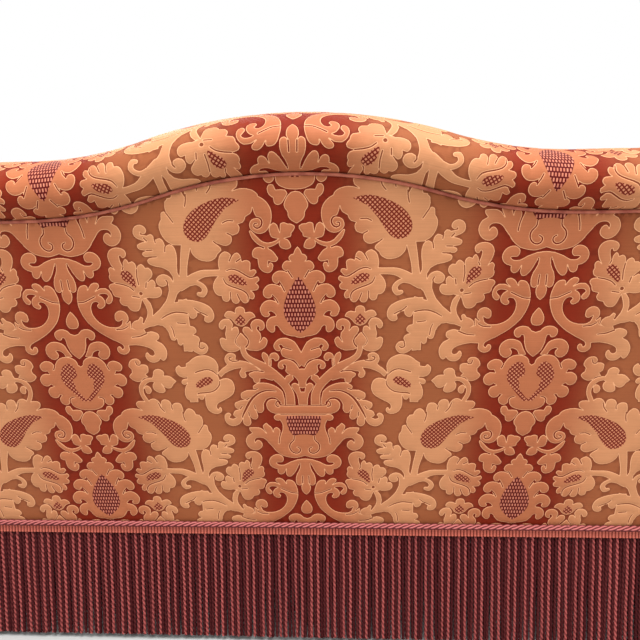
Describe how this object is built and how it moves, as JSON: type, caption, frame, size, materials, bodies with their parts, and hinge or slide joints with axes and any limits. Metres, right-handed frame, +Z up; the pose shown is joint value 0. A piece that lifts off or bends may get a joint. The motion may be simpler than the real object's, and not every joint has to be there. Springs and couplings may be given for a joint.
{
  "type": "camelback sofa",
  "caption": "Camelback sofa with a tight leaning back, padded top roll, rolled arms, loose seat cushions, corded braid and a bullion fringe hiding tapered legs.",
  "frame": {"origin": "on the floor, under the middle of the sofa's bounding box", "axes": "+Z up; the sitter faces -Y, the outside back faces +Y; +X runs along the length, to the right of someone who faces the front"},
  "size_m": [1.8438, 0.9076, 0.8666],
  "materials": {
    "damask": "raised brocatelle weave, rust red and old gold, soft sheen",
    "deck_cloth": "plain twill",
    "piping": "cord covered in the damask ground",
    "rope": "twisted three-ply rayon rope",
    "braid": "ribbed rayon braid",
    "bullion": "twisted rayon bullion, satin sheen",
    "frame_wood": "planed hardwood, unfinished",
    "leg_wood": "dark stained hardwood",
    "steel": "zinc plated",
    "spring_steel": "oil tempered wire",
    "glide_plastic": "moulded, matt",
    "padding": "cotton felt and foam",
    "burlap": "plain jute weave",
    "black_cambric": "glazed cotton"
  },
  "bodies": {
    "root": {"arm_facing_left": "damask", "arm_facing_right": "damask", "arm_facing_welts": "piping", "arm_front_posts": "frame_wood", "arm_pads": "padding", "arm_rear_posts": "frame_wood", "arm_tack_rails": "frame_wood", "arm_top_rails": "frame_wood", "back_burlap": "burlap", "back_posts": "frame_wood", "back_springs": "spring_steel", "back_tack_rail": "frame_wood", "back_top_rail": "frame_wood", "back_uprights": "frame_wood", "back_welt": "piping", "centre_seat_brace": "frame_wood", "corner_block_screws": "steel", "corner_blocks": "frame_wood", "dust_cloth": "black_cambric", "dust_cloth_tacks": "steel", "fringe_front": "bullion", "fringe_left": "bullion", "fringe_rear": "bullion", "fringe_right": "bullion", "front_border_cover": "damask", "front_edge_roll": "padding", "front_leg_centre": "leg_wood", "front_leg_left": "leg_wood", "front_leg_right": "leg_wood", "front_seat_rail": "frame_wood", "gimp_band": "braid", "inside_arm_cover_left": "damask", "inside_arm_cover_right": "damask", "inside_back_cover": "damask", "inside_back_pad": "padding", "leg_bolts": "steel", "leg_glides": "glide_plastic", "outside_arm_cover_left": "damask", "outside_arm_cover_right": "damask", "outside_back_cover": "damask", "rear_leg_centre": "leg_wood", "rear_leg_left": "leg_wood", "rear_leg_right": "leg_wood", "rear_seat_rail": "frame_wood", "rope_cord": "rope", "seat_burlap": "burlap", "seat_cushion_cores": "padding", "seat_cushion_cover_centre": "damask", "seat_cushion_cover_left": "damask", "seat_cushion_cover_right": "damask", "seat_cushion_welts": "piping", "seat_deck_cover": "deck_cloth", "seat_deck_pad": "padding", "seat_springs": "spring_steel", "shoulder_blocks": "frame_wood", "side_seat_rails": "frame_wood", "spring_clips": "steel", "top_roll_cover": "damask", "top_roll_pad": "padding"}
  },
  "joints": []
}
